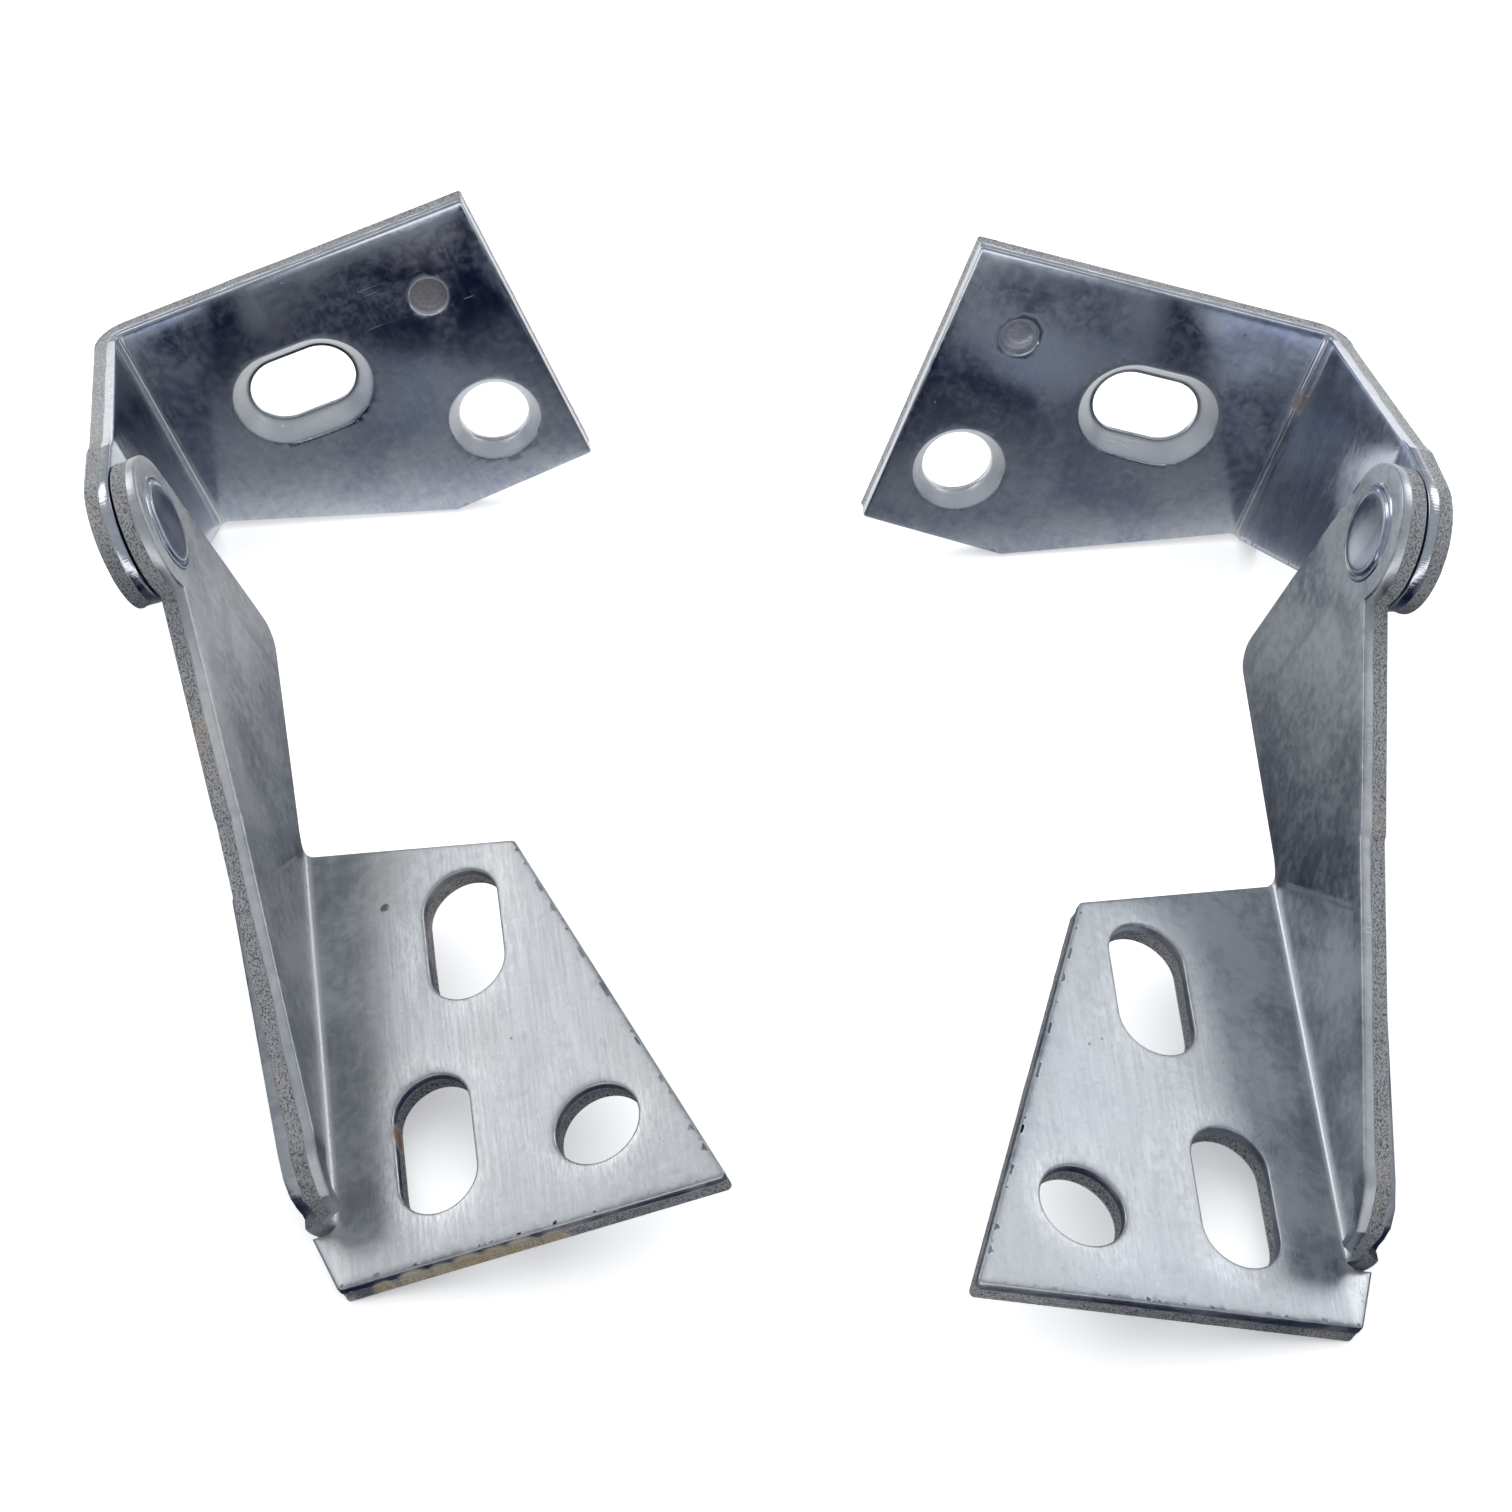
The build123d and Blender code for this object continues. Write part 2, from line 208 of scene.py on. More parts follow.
def cone_edge(widen):
    """Edge of a countersunk hole: small top radius, machined cone, short cylinder."""
    deep = widen / tan(radians(CSK_HALF_ANGLE))
    edge = [(widen + 0.10, 0.0, 0.0), (widen + 0.03, 0.03, 0.0), (widen - 0.03, 0.09, -0.5)]
    edge += [(widen * (1 - k), deep * k, -1.0) for k in (0.2, 0.4, 0.6, 0.8, 0.97)]
    return edge + [(0.0, deep * 1.04, -0.6), (0.0, 2.2, 0.4), (0.02, 2.7, 0.8), (0.1, 3.0, 0.5)]


def sheet_mesh(name, outline, holes, blinds, fold, lines, seed):
    """A pressed sheet as one mesh, built flat as a blank and folded by fold(points, depths).

    Hair-thin faces are left along straight cut edges, so the mesh isn't strictly closed.
    outline and holes are (loop, edge profile); blinds are (loop, centre, profile) sunk in the face.
    Each profile row is (distance into the metal, depth, shear): shear colours the cut edge.
    lines are blank positions where the grid must have points.
    """
    rng = np.random.default_rng(seed)
    verts, shear, faces = [], [], []      # verts are (s, y, depth)
    rims = [(outline[0], outline[1], True)] + [(lp, ed, False) for lp, ed in holes]
    cut = tree_of(np.vstack([loop for loop, _, _ in rims]))
    wave = [(rng.uniform(0.25, 0.85), rng.uniform(0, 2 * pi), rng.uniform(0, 2 * pi)) for _ in range(7)]

    def relief(points, deep):
        """Depth of the face: rolled in at each cut edge and slightly wavy."""
        near = distances(cut, points)
        depth = 0.055 * np.exp(-np.clip(near - 0.25, 0, None) / 0.55)
        for k, turn, phase in wave:
            depth = depth + 0.0028 / k ** 1.2 * np.sin(
                k * (points[:, 0] * cos(turn) + points[:, 1] * sin(turn)) + phase) * np.clip(near / 3, 0, 1)
        return deep + (depth if deep < 1 else -depth * 0.4)

    def wall(start, n, rows):
        """Quads between rows of n points each, the first row at vertex start."""
        for a in range(start, start + (rows - 1) * n, n):
            faces.extend((a + i, a + (i + 1) % n, a + n + (i + 1) % n, a + n + i) for i in range(n))

    top_loops, low_loops = [], []
    for loop, edge, outer in rims:
        n = len(loop)
        push = into_metal(loop, outer)
        rough = smooth_noise(rng, len(edge), n, 9) + 0.6 * smooth_noise(rng, len(edge), n, 2.5)
        lip = smooth_noise(rng, 1, n, 24)[0]
        start = len(verts)
        for j, (inset, depth, tone) in enumerate(edge):
            move = np.full(n, inset)
            if tone >= 0.8:
                move = inset + 0.055 * rough[j] + 0.02
            elif 0 < tone < 0.8 and 0 < j < len(edge) - 1:
                move = inset + 0.006 * rough[j]
            move = np.clip(move, 0, None)
            at = loop + push * move[:, None]
            level = np.full(n, depth)
            if 0.5 < tone < 1:
                level = level + 0.16 * lip
            if j == 0:
                level = relief(at, 0.0) + (depth if depth < 0.01 else 0.0)
            verts += list(np.column_stack([at, level]))
            shear += [tone] * n
        wall(start, n, len(edge))
        top_loops.append(np.arange(start, start + n))
        low_loops.append(np.arange(start + (len(edge) - 1) * n, start + len(edge) * n))
    for loop, centre, edge in blinds:
        n = len(loop)
        push = into_metal(loop, False)
        start = len(verts)
        for inset, depth, tone in edge:
            at = loop + push * inset
            level = np.full(n, depth) if depth > 0.05 else relief(at, 0.0)
            verts += list(np.column_stack([at, level]))
            shear += [tone] * n
        wall(start, n, len(edge))
        tip = len(verts)
        verts.append(np.array([centre[0], centre[1], edge[-1][1] + 0.05]))
        shear.append(edge[-1][2])
        a = start + (len(edge) - 1) * n
        faces += [(a + i, a + (i + 1) % n, tip) for i in range(n)]
        top_loops.append(np.arange(start, start + n))

    lo, hi = rims[0][0].min(0), rims[0][0].max(0)

    def skin(loops, deep, flip):
        """Triangles over one face, between the loops, with its grid of points."""
        flat = [np.array([verts[i][:2] for i in ids]) for ids in loops]
        grid_s = np.unique(np.concatenate([np.arange(lo[0], hi[0], FACE_STEP), lines[0]]).round(3))
        grid_y = np.unique(np.concatenate([np.arange(lo[1], hi[1], FACE_STEP), lines[1]]).round(3))
        pts = np.array([(s + 0.03 * (k % 2), y) for s in grid_s for k, y in enumerate(grid_y)])
        extra = []
        for loop, _, outer in rims:
            push = into_metal(loop, outer)
            for away in EDGE_ROWS:
                extra.append((loop + push * away)[::2])
        pts = np.vstack([pts] + (extra if deep < 1 else []) + [lines[2]])
        ok = inside(pts, flat[0])
        for hole in flat[1:]:
            ok &= ~inside(pts, hole)
        pts = pts[ok]
        pts = pts[distances(tree_of(np.vstack(flat)), pts) > RIM_CLEAR]
        keep, dropped, seen = [], set(), tree_of(pts)
        for i in range(len(pts) - 1, -1, -1):
            if i in dropped:
                continue
            keep.append(i)
            for _, other, _ in seen.find_range((pts[i][0], pts[i][1], 0), POINT_CLEAR):
                if other < i:
                    dropped.add(other)
        pts = pts[sorted(keep)]
        ids = np.concatenate(loops)
        flat_all = [Vector(verts[i][:2]) for i in ids] + [Vector(p) for p in pts]
        edges, at = [], 0
        for loop in loops:
            n = len(loop)
            edges += [(at + i, at + (i + 1) % n) for i in range(n)]
            at += n
        out, _, tris, origin, _, _ = delaunay_2d_cdt(flat_all, edges, [], 0, 1e-5)
        out = np.array([tuple(v) for v in out])
        tris = np.array([t for t in tris if len(t) == 3])
        middle = out[tris].mean(1)
        ok = inside(middle, flat[0])
        for hole in flat[1:]:
            ok &= ~inside(middle, hole)
        tris = tris[ok]
        index = {}
        used = np.unique(tris)
        fresh = [k for k in used if not any(o < len(ids) for o in origin[k])]
        for k in used:
            rims_here = [o for o in origin[k] if o < len(ids)]
            if rims_here:
                index[k] = int(ids[rims_here[0]])
        level = relief(out[fresh], deep) if len(fresh) else []
        for k, d in zip(fresh, level):
            index[k] = len(verts)
            verts.append(np.array([out[k][0], out[k][1], d]))
            shear.append(0.0 if deep < 1 else 0.05)
        for t in tris:
            face = tuple(index[k] for k in t)
            if len(set(face)) == 3:
                faces.append(face[::-1] if flip else face)

    skin(top_loops, 0.0, False)
    skin(low_loops, SHEET, True)
    flat = np.array(verts)
    away = distances(tree_of(np.vstack([loop for loop, _ in holes])), flat)
    mesh = bpy.data.meshes.new(name)
    mesh.from_pydata((fold(flat) * MM).tolist(), [], faces)
    set_attribute(mesh, "shear", "FLOAT", shear)
    set_attribute(mesh, "halo", "FLOAT", np.exp(-((away / HALO) ** 2)))
    set_attribute(mesh, "blank", "FLOAT_VECTOR", flat)
    mesh.validate()
    return mesh


def tidy_normals(mesh, mirror):
    """Faces outwards and smooth, with the sharp edges kept; mirror makes a right-hand mesh."""
    bm = bmesh.new()
    bm.from_mesh(mesh)
    if mirror:
        for v in bm.verts:
            v.co.x = -v.co.x
    bmesh.ops.recalc_face_normals(bm, faces=bm.faces)
    bm.to_mesh(mesh)
    bm.free()
    mesh.shade_smooth()
    mesh.set_sharp_from_angle(angle=radians(SHARP_ANGLE))


# ------------------------------------------------------------------ lower bracket
LOW_BEND = pi / 2 * (BEND_R + 0.45 * SHEET)    # width of the bend in the blank


def bend_x(y):
    """Where the bend's root line stands: it turns out from the arm's plane towards its lower end."""
    return -np.maximum(ROOT_Y - y, 0) * tan(radians(BEND_TURN))


def low_flat(x, y):
    """Blank position of a flange point."""
    return x - bend_x(y) - BEND_R + LOW_BEND / 2


def low_up(z):
    """Blank position of a web point."""
    return BEND_R - z - LOW_BEND / 2


def ease(t):
    t = np.clip(t, 0, 1)
    return t * t * (3 - 2 * t)


def rim_line(y, drop):
    return GUSSET_STEP[1] + (y - GUSSET_STEP[0]) * SLOPE - drop


# border of the panel that turns with the bend, as (y, z), from the arm to the lower end
PANEL = np.array([
    (ROOT_Y + 4, -1.0), PANEL_TOP[0], PANEL_TOP[1], (-40.6, rim_line(-40.6, PANEL_RIM)),
    (-43.4, rim_line(-43.4, PANEL_RIM + 0.5)), (-44.9, 4.9), (-45.3, 3.0), (-45.35, -6.0),
])
PANEL_SOFT = 0.42      # half the width of the step along that border


def panel_share(y, z):
    """1 on the panel, 0 on the arm and the rim, with a soft step between them."""
    pts = np.stack([y, z], 1)
    gap = np.full(len(pts), 1e9)
    for a, b in zip(PANEL[:-1], PANEL[1:]):
        t = np.clip(((pts - a) @ (b - a)) / ((b - a) @ (b - a)), 0, 1)
        gap = np.minimum(gap, np.linalg.norm(pts - a - t[:, None] * (b - a), axis=1))
    gap = np.where(inside(pts, PANEL), gap, -gap)
    return np.maximum(ease((gap + PANEL_SOFT) / (2 * PANEL_SOFT)), ease((BEND_R + 1.9 - z) / 1.7))


def fold_lower(p):
    s, y, d = p.T
    root = bend_x(y)
    turn = np.clip((s + LOW_BEND / 2) / LOW_BEND, 0, 1) * pi / 2
    z_web = BEND_R - s - LOW_BEND / 2
    rim = RIM_X * ease((RIM_FROM_Y - y) / RIM_RUN)
    share = panel_share(y, np.maximum(z_web, 0))
    x_web = root * share + rim * (1 - share) - d
    upright = np.where(s <= -LOW_BEND / 2, 1.0, ease((y - ROOT_Y) / 0.9))
    x = x_web * upright + (root + BEND_R - (BEND_R + d) * np.cos(turn)) * (1 - upright)
    z = z_web * upright + (BEND_R - (BEND_R + d) * np.sin(turn)) * (1 - upright)
    # the flange, and the strip beside the tear where the bend runs out into it
    half = 0.05 + 0.75 * np.clip((s - 0.15) / 1.2, 0, 1)
    flat = np.where(s >= LOW_BEND / 2, 1.0, ease((TEAR_Y + half - y) / (2 * half)))
    x = x * (1 - flat) + (root + BEND_R + s - LOW_BEND / 2) * flat
    z = z * (1 - flat) - d * flat
    return np.stack([x, y, z], 1)


def eye_arc(y, z, start, stop):
    return arc((y, z), EYE_R, start, stop, 60)


def lower_mesh(seed):
    step_top = (GUSSET_STEP[0] + STEP_H, GUSSET_STEP[1] + STEP_H * (1 + SLOPE))
    start = degrees(atan2(GUSSET_TOP[1] - PIVOT_Z, GUSSET_TOP[0] - PIVOT_Y)) % 360
    dy, dz = ARM_HEEL[0] - PIVOT_Y, ARM_HEEL[1] - PIVOT_Z
    stop = degrees(atan2(dz, dy) + np.arccos(EYE_R / hypot(dy, dz)))
    web = [(*GUSSET_END, 1.0), (*GUSSET_DIP, 4.0), (*GUSSET_STEP, 0.25), (*step_top, 0.25)]
    web += eye_arc(PIVOT_Y, PIVOT_Z, start, stop) + [(*ARM_HEEL, ARM_HEEL_R)]
    blank = [(low_up(p[1]), p[0], *p[2:]) for p in web]
    x1, y1 = FLANGE_CORNERS[0]
    tear = low_flat(TEAR_X, TEAR_Y) - TEAR_W / 2
    fall = (FLANGE_TOP_Y - y1) / (low_flat(x1, y1) - LOW_BEND / 2)
    blank += [(-LOW_BEND / 2, FLANGE_TOP_Y + LOW_BEND * fall, ROOT_BLANK_R)]
    blank += [(low_flat(x, y), y, FLANGE_CORNER_R) for x, y in FLANGE_CORNERS]
    blank += [(low_flat(FLANGE_HEEL_X, END_Y - TEAR_W), END_Y - TEAR_W)]
    blank += arc((tear, TEAR_Y), TEAR_W / 2, -90, 90, 8)
    outline = resample(rounded(blank))
    holes = [(slot_loop((low_flat(x, y), y), LOW_SLOT_W, LOW_SLOT_L, 1), ROLL) for x, y in LOW_SLOTS]
    holes.append((resample(arc((low_flat(*LOW_HOLE), LOW_HOLE[1]), LOW_HOLE_R, 0, 354, 60)), ROLL))
    bore = [(0.0, 0.0, 0.0), (0.0, 1.0, 0.5), (0.0, 2.0, 0.5), (0.0, 3.0, 0.5)]
    holes.append((resample(arc((low_up(PIVOT_Z), PIVOT_Y), SHANK_R, 0, 354, 60)), bore))

    # points along the panel's border, so that its step stays crisp
    border = []
    for a, b in zip(PANEL[1:-1], PANEL[2:]):
        run = np.linspace(0, 1, max(2, int(np.linalg.norm(b - a) / 0.42)))
        side = unit((b - a)[::-1] * (1, -1))
        for away in (-PANEL_SOFT, -0.2, 0.0, 0.2, PANEL_SOFT):
            for t in run:
                y, z = a + (b - a) * t + side * away
                if z > BEND_R + 0.4:
                    border.append((low_up(z), y))
    bend = np.linspace(-LOW_BEND / 2, LOW_BEND / 2, 15)
    around = END_Y + np.array([0.9, 0.5, 0.22, -0.8, -1.05, -1.4])
    lines = (bend, around, np.array(border))
    return sheet_mesh("lower", (outline, ROLL), holes, [], fold_lower, lines, seed)


# ------------------------------------------------------------------ upper bracket, in its own frame
UP_ANGLE = pi / 2 + LEAN
UP_BEND = UP_ANGLE * (BEND_R + 0.45 * SHEET)
UP_TANGENT = BEND_R / tan((pi - UP_ANGLE) / 2)
UP_CENTRE = (UP_BEND_X + UP_TANGENT, -UP_DROP + BEND_R)
UP_WEB = (UP_DROP - UP_CREASE) / cos(LEAN) - UP_TANGENT   # leaning web, from the bend to the crease
CREASE_HALF = 1.1


def up_blank(x=None, w=None):
    """Blank position of a flange point at x, or of a web point at height w."""
    if w is None:
        return x - UP_CENTRE[0] + UP_BEND / 2
    if w >= -UP_CREASE:
        return -UP_BEND / 2 - UP_WEB - (w + UP_CREASE)
    return -UP_BEND / 2 - UP_WEB - (w + UP_CREASE) / cos(LEAN)


def fold_upper(p):
    s, y, d = p.T
    on_flange = s >= UP_BEND / 2
    on_bend = np.abs(s) < UP_BEND / 2
    share = np.clip((UP_BEND / 2 - s) / UP_BEND, 0, 1)
    phi = -pi / 2 - UP_ANGLE * share
    x = UP_CENTRE[0] + (BEND_R + d) * np.cos(phi)
    w = UP_CENTRE[1] + (BEND_R + d) * np.sin(phi)
    # the web: a leaning run, a short crease arc, then the eye plate
    up = -s - UP_BEND / 2
    foot = np.array(UP_CENTRE) + BEND_R * np.array([-cos(LEAN), sin(LEAN)])
    run = np.clip(up, 0, UP_WEB - CREASE_HALF)
    over = np.clip(up - (UP_WEB - CREASE_HALF), 0, 2 * CREASE_HALF)
    rest = np.clip(up - (UP_WEB + CREASE_HALF), 0, None)
    lean = LEAN * (1 - over / (2 * CREASE_HALF))
    bow = 2 * CREASE_HALF / LEAN
    wx = foot[0] + run * sin(LEAN) + bow * (np.cos(lean) - cos(LEAN)) - d * np.cos(lean)
    ww = foot[1] + run * cos(LEAN) + bow * (sin(LEAN) - np.sin(lean)) + rest + d * np.sin(lean)
    x = np.where(on_flange, s + UP_CENTRE[0] - UP_BEND / 2, np.where(on_bend, x, wx))
    w = np.where(on_flange, -UP_DROP - d, np.where(on_bend, w, ww))
    return np.stack([x, y, w], 1)


def upper_mesh(seed):
    away = hypot(UP_BEND_END_V, UP_DROP)
    touch = degrees(atan2(-UP_DROP, UP_BEND_END_V) - np.arccos(EYE_R / away)) % 360
    (v1, w1), (v2, w2) = UP_FREE_EDGE
    web = eye_arc(0, 0, touch, 0)[::-1]
    (x2, y2), (x3, y3), (x4, y4) = UP_CORNERS
    flange_s = up_blank(x=UP_CENTRE[0])
    web_s = -UP_BEND / 2
    blank = [(flange_s, UP_BEND_END_V), (up_blank(x=x4), y4, 1.0), (up_blank(x=x3), y3, UP_CORNER_R),
             (up_blank(x=x2), y2, UP_CORNER_R), (flange_s, UP_TOP_V), (web_s, UP_TOP_V),
             (up_blank(w=w2), v2, 1.5), (up_blank(w=w1), v1, 1.5)]
    blank += [(up_blank(w=w), v) for v, w in web]
    blank += [(web_s, UP_BEND_END_V)]
    outline = resample(rounded(blank))
    widen = (UP_SLOT_CSK - UP_SLOT_W) / 2
    slot = slot_loop((up_blank(x=UP_SLOT[0]), UP_SLOT[1]), UP_SLOT_W, UP_SLOT_L, 0)
    hole = resample(arc((up_blank(x=UP_HOLE[0]), UP_HOLE[1]), UP_HOLE_R, 0, 354, 60))
    bore = [(0.25, 0.02, 0.0), (0.0, 0.25, 0.4), (0.0, 1.5, 0.5), (0.0, 3.0, 0.5)]
    eye = resample(arc((up_blank(w=0), 0), SHANK_R + SHANK_RUN, 0, 354, 60))
    holes = [(slot, cone_edge(widen)), (hole, cone_edge(UP_HOLE_CSK - UP_HOLE_R)), (eye, bore)]
    spot = (up_blank(x=DIMPLE[0]), DIMPLE[1])
    punch = [(0.35, 0.02, 0.0), (0.12, 0.06, 0.0), (0.0, 0.2, 0.2), (-0.15, 0.7, 0.3),
             (-0.45, DIMPLE_DEPTH - 0.1, 0.4), (-0.8, DIMPLE_DEPTH, 0.3), (-1.4, DIMPLE_DEPTH, 0.3)]
    dimple = (resample(arc(spot, DIMPLE_R, 0, 352, 45), 0.35), spot, punch)
    bend = np.concatenate([np.linspace(-UP_BEND / 2, UP_BEND / 2, 17),
                           -UP_BEND / 2 - UP_WEB + np.linspace(-CREASE_HALF, CREASE_HALF, 7)])
    lines = (bend, np.array([UP_BEND_END_V + 0.5]), np.zeros((0, 2)))
    return sheet_mesh("upper", (outline, ROLL), holes, [dimple], fold_upper, lines, seed)


# ------------------------------------------------------------------ rivet
def rivet_mesh(seed):
    """A lathed rivet along X: domed inner head with a formed ring, shank and outer head."""
    rng = np.random.default_rng(seed)
    outer = UP_INNER_X - SHEET - OUTER_HEAD_GAP
    tip = outer - OUTER_HEAD_T
    ring = HEAD_R + HEAD_RING
    profile = [(tip, 0.0), (tip, 1.5), (tip + 0.01, 3.0), (tip + 0.05, 4.0), (tip + 0.12, 4.5),
               (tip + 0.24, 4.85), (tip + 0.40, 5.08), (tip + 0.55, OUTER_HEAD_R),
               (outer - 0.1, OUTER_HEAD_R), (outer, OUTER_HEAD_R - 0.1), (outer, SHANK_R + 0.2),
               (outer, SHANK_R), (outer + 1.2, SHANK_R), (UP_INNER_X, SHANK_R), (-SHEET, SHANK_R),
               (-1.0, SHANK_R), (0.0, SHANK_R), (0.0, ring), (0.06, ring - 0.06), (0.13, ring - 0.16),
               (0.17, ring - 0.30), (0.15, ring - 0.44), (0.10, HEAD_R + 0.12), (0.06, HEAD_R + 0.02),
               (0.09, HEAD_R - 0.07), (0.19, HEAD_R - 0.14), (0.28, HEAD_R - 0.24), (0.33, HEAD_R - 0.42),
               (HEAD_PROUD, HEAD_R - 0.75), (HEAD_PROUD, 3.4), (HEAD_PROUD - 0.02, 2.2),
               (HEAD_PROUD - 0.035, 1.1), (HEAD_PROUD - 0.04, 0.0)]
    count = 96
    angle = np.linspace(0, 2 * pi, count, endpoint=False)
    wobble = smooth_noise(rng, len(profile), count, 22)
    verts, faces, rows = [], [], []
    for j, (x, r) in enumerate(profile):
        if r == 0:
            rows.append([len(verts)])
            verts.append((x, 0, 0))
            continue
        head = 0.05 if x > 0.05 and r > 1 else 0.0
        rows.append(list(range(len(verts), len(verts) + count)))
        for a, k in zip(angle, wobble[j]):
            rr = r - head * abs(k)
            verts.append((x, rr * cos(a), rr * sin(a)))
    for low, high in zip(rows, rows[1:]):
        for i in range(count):
            k = (i + 1) % count
            if len(low) == 1:
                faces.append((low[0], high[i], high[k]))
            elif len(high) == 1:
                faces.append((low[i], low[k], high[0]))
            else:
                faces.append((low[i], low[k], high[k], high[i]))
    mesh = bpy.data.meshes.new("rivet")
    mesh.from_pydata((np.array(verts) * MM).tolist(), [], faces)
    set_attribute(mesh, "shear", "FLOAT", np.zeros(len(verts)))
    set_attribute(mesh, "blank", "FLOAT_VECTOR", np.array(verts)[:, [1, 2, 0]])
    return mesh


# ------------------------------------------------------------------ placing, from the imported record
joints = {j["name"]: j for j in frame["joints"]}
mounts = {m["name"]: m for m in frame["record"]["mounts"]}


def place(side, face, pivot_at):
    """Matrix from a bracket's own frame, with its pivot at pivot_at in mm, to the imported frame.

    The bracket's outer face gives the direction of its z axis. A right-hand mesh is mirrored first.
    """
    joint = joints[side + "_pivot"]
    z = -Vector(mounts[side + face]["axis"]).normalized()
    x = Vector(joint["axis"]).normalized()
    x = (x - z * x.dot(z)).normalized()
    y = z.cross(x)
    turn = Matrix((x, y, z)).transposed().to_4x4()
    pivot = Matrix.Translation(Vector(joint["pos_m"])) @ turn
    return pivot @ Matrix.Translation(Vector(pivot_at) * -MM)


def add_piece(name, mesh, matrix, mirror, body, nodes, material):
    tidy_normals(mesh, mirror)
    mesh.name = name
    obj = bpy.data.objects.new(name, mesh)
    bpy.context.scene.collection.objects.link(obj)
    mesh.transform(matrix)
    mesh.materials.append(material)
    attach(obj, body)
    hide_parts(*nodes)


# ------------------------------------------------------------------ materials
class Graph:
    """Short names for building a material's nodes."""

    def __init__(self, name):
        self.mat = bpy.data.materials.new(name)
        self.mat.use_nodes = True
        self.nodes = self.mat.node_tree.nodes
        self.links = self.mat.node_tree.links
        self.shader = self.nodes["Principled BSDF"]

    def link(self, source, target):
        if isinstance(source, (int, float)):
            target.default_value = source
        elif isinstance(source, tuple):
            target.default_value = source if len(source) == len(target.default_value) else (*source, 1)
        else:
            self.links.new(source, target)

    def attribute(self, name):
        node = self.nodes.new("ShaderNodeAttribute")
        node.attribute_name = name
        return node

    def math(self, kind, a, b=0.0, clamp=False):
        node = self.nodes.new("ShaderNodeMath")
        node.operation = kind
        node.use_clamp = clamp
        self.link(a, node.inputs[0])
        self.link(b, node.inputs[1])
        return node.outputs[0]

    def times(self, a, b, clamp=False):
        return self.math("MULTIPLY", a, b, clamp)

    def plus(self, a, b, clamp=False):
        return self.math("ADD", a, b, clamp)

    def vec(self, vector, scale=(1, 1, 1), move=(0, 0, 0), turn=(0, 0, 0)):
        node = self.nodes.new("ShaderNodeMapping")
        self.link(vector, node.inputs["Vector"])
        node.inputs["Scale"].default_value = scale
        node.inputs["Location"].default_value = move
        node.inputs["Rotation"].default_value = turn
        return node.outputs[0]

    def noise(self, vector, scale, detail=3.0, rough=0.55, warp=0.0):
        node = self.nodes.new("ShaderNodeTexNoise")
        self.link(vector, node.inputs["Vector"])
        node.inputs["Scale"].default_value = scale
        node.inputs["Detail"].default_value = detail
        node.inputs["Roughness"].default_value = rough
        node.inputs["Distortion"].default_value = warp
        return node.outputs["Fac"]

    def cells(self, vector, scale):
        node = self.nodes.new("ShaderNodeTexVoronoi")
        self.link(vector, node.inputs["Vector"])
        node.inputs["Scale"].default_value = scale
        return node.outputs["Distance"]

    def ramp(self, value, low, high, to_low=0.0, to_high=1.0):
        node = self.nodes.new("ShaderNodeMapRange")
        node.interpolation_type = "SMOOTHSTEP"
        self.link(value, node.inputs["Value"])
        for key, number in (("From Min", low), ("From Max", high), ("To Min", to_low), ("To Max", to_high)):
            node.inputs[key].default_value = number
        return node.outputs[0]

    def near(self, vector, point, radius):
        """1 within a radius of a point, fading out just beyond it."""
        node = self.nodes.new("ShaderNodeVectorMath")
        node.operation = "DISTANCE"
        self.links.new(vector, node.inputs[0])
        node.inputs[1].default_value = point
        return self.ramp(node.outputs["Value"], radius * 1.25, radius * 0.7)

    def mix(self, a, b, share):
        node = self.nodes.new("ShaderNodeMix")
        node.data_type = "RGBA"
        self.link(share, node.inputs["Factor"])
        self.link(a, node.inputs[6])
        self.link(b, node.inputs[7])
        return node.outputs[2]

    def bump(self, height, strength, distance, before=None):
        node = self.nodes.new("ShaderNodeBump")
        node.inputs["Strength"].default_value = strength
        node.inputs["Distance"].default_value = distance
        self.link(height, node.inputs["Height"])
        if before is not None:
            self.links.new(before, node.inputs["Normal"])
        return node.outputs[0]


